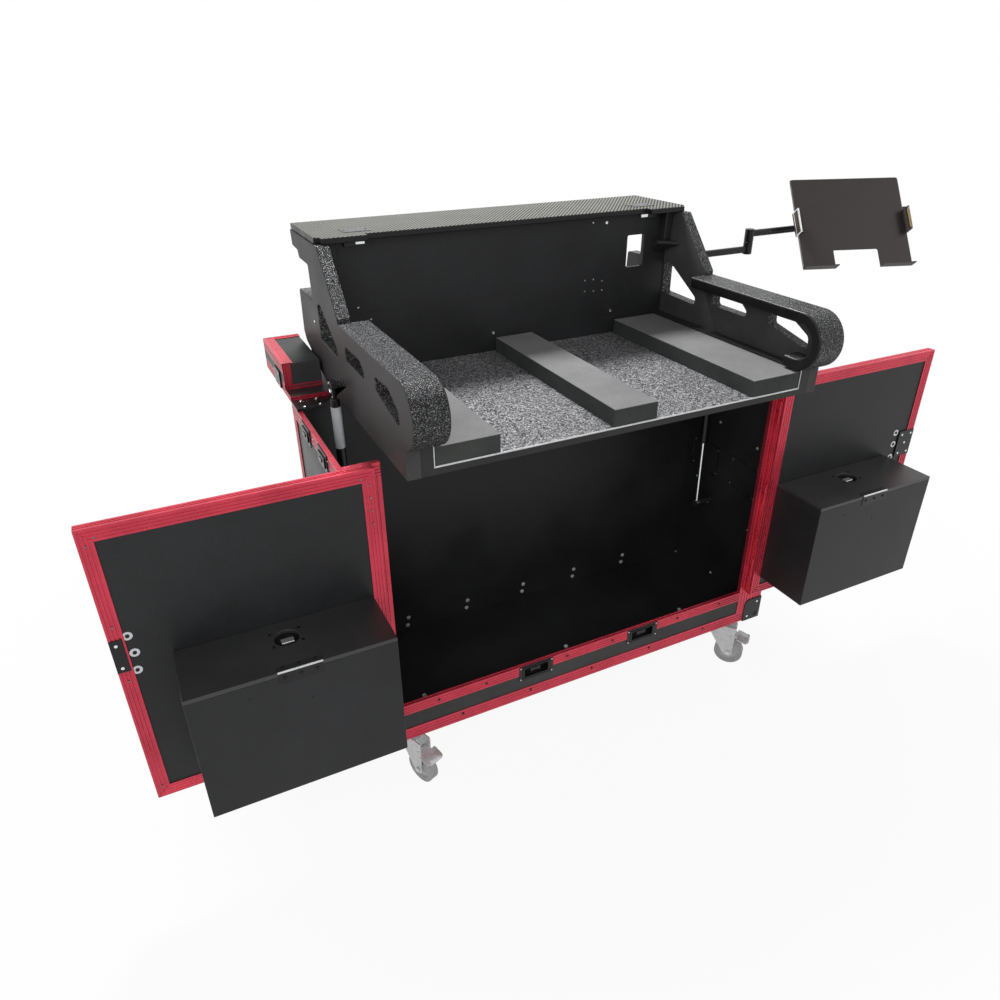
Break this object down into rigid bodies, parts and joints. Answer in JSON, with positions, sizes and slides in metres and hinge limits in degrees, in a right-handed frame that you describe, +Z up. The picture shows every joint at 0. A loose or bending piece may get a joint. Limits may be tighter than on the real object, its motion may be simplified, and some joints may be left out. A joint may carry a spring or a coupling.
{
  "type": "hydraulic mixer flight case",
  "caption": "Wheeled flight case with folding front doors and storage boxes, a gas-sprung flip-up mixer tray with armrests and a lidded doghouse, and a swing-arm tablet holder.",
  "frame": {"origin": "on the ground under the middle of everything, with the doors open and the tablet arm out as in the picture", "axes": "+X towards the side with the tablet holder, +Z up, the open front with the doors faces -Y"},
  "size_m": [2.3982, 0.875, 1.3177],
  "materials": {
    "laminate": "fine-textured black laminate on plywood board",
    "red_rail": "red anodised ribbed extrusion",
    "grey_panel": "smooth matte dark grey paint on plywood",
    "rough_paint": "rough speckled black coating",
    "tread_black": "black board with a fine tread pattern",
    "foam": "matte grey closed-cell foam",
    "zinc": "bright zinc plating",
    "wheel_grey": "matte light grey rubber",
    "black_steel": "satin black powder coat",
    "black_plastic": "matte black",
    "rod_steel": "polished rod"
  },
  "bodies": {
    "case": {"base_floor": "laminate", "left_wall": "laminate", "right_wall": "laminate", "back_wall": "laminate", "sill_board": "laminate", "base_frame": "red_rail", "sill_rail": "red_rail", "left_front_post": "red_rail", "right_front_post": "red_rail", "left_rear_post": "red_rail", "right_rear_post": "red_rail", "top_frame": "red_rail", "sill_latch_left": "black_steel", "sill_latch_right": "black_steel", "pivot_bracket_left": "black_steel", "pivot_bracket_right": "black_steel", "caster_plate_left_front": "zinc", "caster_plate_right_front": "zinc", "caster_plate_left_rear": "zinc", "caster_plate_right_rear": "zinc"},
    "latch_wing_left": {"sill_wing_left": "zinc"},
    "latch_wing_right": {"sill_wing_right": "zinc"},
    "left_door": {"left_door_panel": "laminate", "left_door_frame": "red_rail", "left_storage_box": "laminate"},
    "right_door": {"right_door_panel": "laminate", "right_door_frame": "red_rail", "right_storage_box": "laminate"},
    "left_lid": {"left_box_lid": "laminate"},
    "right_lid": {"right_box_lid": "laminate"},
    "tray_unit": {"tray": "rough_paint", "back_panel": "laminate", "left_side_panel": "grey_panel", "right_side_panel": "grey_panel", "left_armrest": "rough_paint", "right_armrest": "rough_paint", "pad_left": "foam", "pad_center": "foam", "pad_right": "foam", "tablet_bracket": "black_steel"},
    "doghouse": {"doghouse_lid": "tread_black"},
    "cover": {"rear_cover": "laminate"},
    "gas_rod_left": {"spring_rod_left": "rod_steel"},
    "gas_rod_right": {"spring_rod_right": "rod_steel"},
    "gas_tube_left": {"spring_tube_left": "black_steel"},
    "gas_tube_right": {"spring_tube_right": "black_steel"},
    "fork_left_front": {"caster_fork_left_front": "zinc"},
    "fork_right_front": {"caster_fork_right_front": "zinc"},
    "fork_left_rear": {"caster_fork_left_rear": "zinc"},
    "fork_right_rear": {"caster_fork_right_rear": "zinc"},
    "wheel_left_front": {"caster_wheel_left_front": "wheel_grey"},
    "wheel_right_front": {"caster_wheel_right_front": "wheel_grey"},
    "wheel_left_rear": {"caster_wheel_left_rear": "wheel_grey"},
    "wheel_right_rear": {"caster_wheel_right_rear": "wheel_grey"},
    "pedal_left_front": {"brake_pedal_left_front": "zinc"},
    "pedal_right_front": {"brake_pedal_right_front": "zinc"},
    "lower_arm": {"tablet_lower_arm": "black_steel"},
    "upper_arm": {"tablet_upper_arm": "black_steel"},
    "tilt_head": {"tablet_tilt_head": "black_steel"},
    "tablet_holder": {"tablet_plate": "black_plastic"}
  },
  "joints": [
    {"name": "left_door_swing", "type": "hinge", "parent": "case", "child": "left_door", "pos_m": [-0.65961, -0.264, 0.5948], "axis": [0, 0, 1], "range_deg": [0, 180]},
    {"name": "right_door_swing", "type": "hinge", "parent": "case", "child": "right_door", "pos_m": [0.42139, -0.264, 0.5948], "axis": [0, 0, -1], "range_deg": [0, 180]},
    {"name": "left_box_lid_lift", "type": "hinge", "parent": "left_door", "child": "left_lid", "pos_m": [-0.89386, -0.4287, 0.6239], "axis": [1, 0, 0], "range_deg": [0, 100]},
    {"name": "right_box_lid_lift", "type": "hinge", "parent": "right_door", "child": "right_lid", "pos_m": [0.65564, -0.4287, 0.6239], "axis": [1, 0, 0], "range_deg": [0, 100]},
    {"name": "tray_flip", "type": "hinge", "parent": "case", "child": "tray_unit", "pos_m": [-0.11911, 0.1195, 0.9494], "axis": [1, 0, 0], "range_deg": [0, 90]},
    {"name": "doghouse_lid_lift", "type": "hinge", "parent": "tray_unit", "child": "doghouse", "pos_m": [-0.11911, 0.3962, 1.2771], "axis": [1, 0, 0], "range_deg": [-100, 0]},
    {"name": "rear_cover_fold", "type": "hinge", "parent": "case", "child": "cover", "pos_m": [-0.11911, 0.1495, 0.926], "axis": [1, 0, 0], "range_deg": [-90, 0]},
    {"name": "spring_tilt_left", "type": "hinge", "parent": "case", "child": "gas_rod_left", "pos_m": [-0.65911, -0.0005, 0.4394], "axis": [1, 0, 0], "range_deg": [-9, 0]},
    {"name": "spring_tilt_right", "type": "hinge", "parent": "case", "child": "gas_rod_right", "pos_m": [0.42089, -0.0005, 0.4394], "axis": [1, 0, 0], "range_deg": [-9, 0]},
    {"name": "spring_stroke_left", "type": "slide", "parent": "gas_rod_left", "child": "gas_tube_left", "axis": [0, 0.0177, 0.9998], "range_m": [-0.165, 0]},
    {"name": "spring_stroke_right", "type": "slide", "parent": "gas_rod_right", "child": "gas_tube_right", "axis": [0, 0.0177, 0.9998], "range_m": [-0.165, 0]},
    {"name": "caster_swivel_left_front", "type": "hinge", "parent": "case", "child": "fork_left_front", "pos_m": [-0.61911, -0.2075, 0.1294], "axis": [0, 0, 1], "continuous": true},
    {"name": "caster_swivel_right_front", "type": "hinge", "parent": "case", "child": "fork_right_front", "pos_m": [0.38089, -0.2075, 0.1294], "axis": [0, 0, 1], "continuous": true},
    {"name": "caster_swivel_left_rear", "type": "hinge", "parent": "case", "child": "fork_left_rear", "pos_m": [-0.61911, 0.1025, 0.1294], "axis": [0, 0, 1], "continuous": true},
    {"name": "caster_swivel_right_rear", "type": "hinge", "parent": "case", "child": "fork_right_rear", "pos_m": [0.38089, 0.1025, 0.1294], "axis": [0, 0, 1], "continuous": true},
    {"name": "wheel_spin_left_front", "type": "hinge", "parent": "fork_left_front", "child": "wheel_left_front", "pos_m": [-0.60225, -0.24922, 0.042], "axis": [0.9272, 0.3746, 0], "continuous": true},
    {"name": "wheel_spin_right_front", "type": "hinge", "parent": "fork_right_front", "child": "wheel_right_front", "pos_m": [0.40982, -0.24197, 0.042], "axis": [0.766, 0.6428, 0], "continuous": true},
    {"name": "wheel_spin_left_rear", "type": "hinge", "parent": "fork_left_rear", "child": "wheel_left_rear", "pos_m": [-0.5933, 0.06564, 0.042], "axis": [0.8192, 0.5736, 0], "continuous": true},
    {"name": "wheel_spin_right_rear", "type": "hinge", "parent": "fork_right_rear", "child": "wheel_right_rear", "pos_m": [0.42134, 0.08277, 0.042], "axis": [0.4384, 0.8988, 0], "continuous": true},
    {"name": "brake_left_front", "type": "hinge", "parent": "fork_left_front", "child": "pedal_left_front", "pos_m": [-0.60113, -0.252, 0.104], "axis": [0.9272, 0.3746, 0], "range_deg": [0, 14]},
    {"name": "brake_right_front", "type": "hinge", "parent": "fork_right_front", "child": "pedal_right_front", "pos_m": [0.41175, -0.24427, 0.104], "axis": [0.766, 0.6428, 0], "range_deg": [0, 14]},
    {"name": "latch_turn_left", "type": "hinge", "parent": "case", "child": "latch_wing_left", "pos_m": [-0.27511, -0.2445, 0.2382], "axis": [0, 1, 0], "range_deg": [0, 90]},
    {"name": "latch_turn_right", "type": "hinge", "parent": "case", "child": "latch_wing_right", "pos_m": [0.05989, -0.2445, 0.2382], "axis": [0, 1, 0], "range_deg": [0, 90]},
    {"name": "tablet_lower_swing", "type": "hinge", "parent": "tray_unit", "child": "lower_arm", "pos_m": [0.42089, 0.2225, 1.1384], "axis": [0, 0, 1], "range_deg": [-30, 60]},
    {"name": "tablet_upper_swing", "type": "hinge", "parent": "lower_arm", "child": "upper_arm", "pos_m": [0.69089, 0.2225, 1.1834], "axis": [0, 0, 1], "range_deg": [-45, 75]},
    {"name": "tablet_head_turn", "type": "hinge", "parent": "upper_arm", "child": "tilt_head", "pos_m": [1.03089, 0.2225, 1.1997], "axis": [0, 0, 1], "range_deg": [-8, 30]},
    {"name": "tablet_tilt", "type": "hinge", "parent": "tilt_head", "child": "tablet_holder", "pos_m": [1.01727, 0.18108, 1.2169], "axis": [0.95, -0.3123, 0], "range_deg": [-30, 30]}
  ],
  "couplings": [
    {"joint": "spring_tilt_left", "follows": "tray_flip", "ratio": -0.091284},
    {"joint": "spring_tilt_right", "follows": "tray_flip", "ratio": -0.091284},
    {"joint": "spring_stroke_left", "follows": "tray_flip", "m_per_rad": -0.10176},
    {"joint": "spring_stroke_right", "follows": "tray_flip", "m_per_rad": -0.10176}
  ]
}
